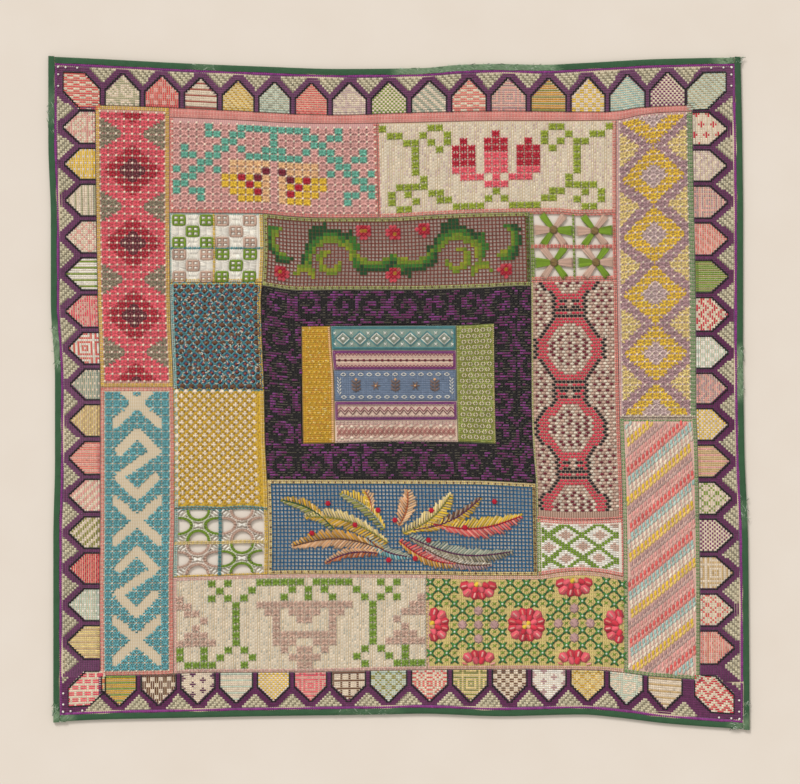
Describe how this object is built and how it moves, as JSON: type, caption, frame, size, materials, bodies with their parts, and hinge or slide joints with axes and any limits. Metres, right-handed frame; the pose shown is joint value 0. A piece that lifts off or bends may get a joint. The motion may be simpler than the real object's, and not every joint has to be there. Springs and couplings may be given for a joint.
{
  "type": "needlework sampler",
  "caption": "Flat needlework sampler of small embroidered, netted and openwork cloths sewn edge to edge inside an arched canvas border with a ribbon binding.",
  "frame": {"origin": "centre of the underside, on the surface that the sampler lies on", "axes": "+X across the face to the right, +Y up the face, +Z out of the embroidered face"},
  "size_m": [0.421, 0.404, 0.0026],
  "materials": {
    "canvas_border": "matte",
    "ribbon_green": "matte",
    "tape_coral": "matte",
    "wool_rose": "matte",
    "wool_teal": "matte",
    "wool_dusty_pink": "matte",
    "linen_buds": "matte",
    "wool_yellow": "matte",
    "wool_stripes": "matte",
    "linen_garland": "matte",
    "silk_rosettes": "matte",
    "openwork_blocks": "matte",
    "net_brown": "matte",
    "openwork_wheels": "matte",
    "knots_blue": "matte",
    "wool_ochre": "matte",
    "openwork_arches": "matte",
    "weave_straps": "matte",
    "openwork_diamonds": "matte",
    "net_blue": "matte",
    "net_dark": "matte",
    "silk_gold": "matte",
    "silk_green": "matte",
    "band_teal": "matte",
    "band_purple": "matte",
    "band_blue": "matte",
    "band_zigzag": "matte",
    "band_rose": "matte"
  },
  "bodies": {
    "root": {"border_canvas": "canvas_border", "binding_left": "ribbon_green", "binding_right": "ribbon_green", "binding_bottom": "ribbon_green", "binding_top": "ribbon_green", "coral_tape": "tape_coral", "panel_rose_medallions": "wool_rose", "panel_teal_key": "wool_teal", "panel_garland_pink": "wool_dusty_pink", "panel_buds_linen": "linen_buds", "panel_yellow_lattice": "wool_yellow", "panel_slant_stripes": "wool_stripes", "panel_garland_beige": "linen_garland", "panel_rosettes": "silk_rosettes", "panel_drawn_blocks": "openwork_blocks", "panel_leaf_net": "net_brown", "panel_wheels": "openwork_wheels", "panel_blue_knots": "knots_blue", "panel_ochre_lattice": "wool_ochre", "panel_arch_openwork": "openwork_arches", "panel_strap_octagons": "weave_straps", "panel_diamond_openwork": "openwork_diamonds", "panel_feather_net": "net_blue", "net_black": "net_dark", "strip_gold": "silk_gold", "strip_green": "silk_green", "band_teal": "band_teal", "band_purple": "band_purple", "band_blue": "band_blue", "band_zigzag": "band_zigzag", "band_rose": "band_rose"}
  },
  "joints": []
}
